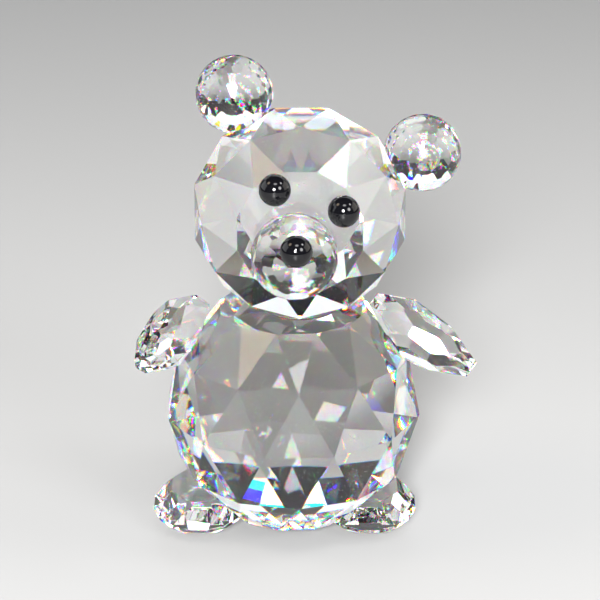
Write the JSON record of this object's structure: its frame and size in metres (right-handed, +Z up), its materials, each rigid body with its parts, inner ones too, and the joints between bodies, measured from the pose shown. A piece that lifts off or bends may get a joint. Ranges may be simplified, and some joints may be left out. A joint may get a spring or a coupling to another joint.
{
  "type": "crystal glass figurine",
  "caption": "Small teddy bear figurine of cut clear crystal stones glued together, with domed black glass eyes and nose.",
  "frame": {"origin": "centre of the figurine's box on the surface it stands on", "axes": "+Z up, the bear looks along -Y, +X to the viewer's right"},
  "size_m": [0.0646, 0.0566, 0.0926],
  "materials": {
    "crystal": "polished clear lead crystal",
    "jet_glass": "polished black glass",
    "clear_adhesive": "clear cured adhesive"
  },
  "bodies": {
    "root": {"body_ball": "crystal", "head_ball": "crystal", "ear_left": "crystal", "ear_right": "crystal", "muzzle": "crystal", "arm_left": "crystal", "arm_right": "crystal", "foot_left": "crystal", "foot_right": "crystal", "eye_left": "jet_glass", "eye_right": "jet_glass", "nose": "jet_glass", "bond_neck": "clear_adhesive", "bond_ear_left": "clear_adhesive", "bond_ear_right": "clear_adhesive", "bond_muzzle": "clear_adhesive", "bond_eye_left": "clear_adhesive", "bond_eye_right": "clear_adhesive", "bond_nose": "clear_adhesive", "bond_arm_left": "clear_adhesive", "bond_arm_right": "clear_adhesive", "bond_foot_left": "clear_adhesive", "bond_foot_right": "clear_adhesive"}
  },
  "joints": []
}
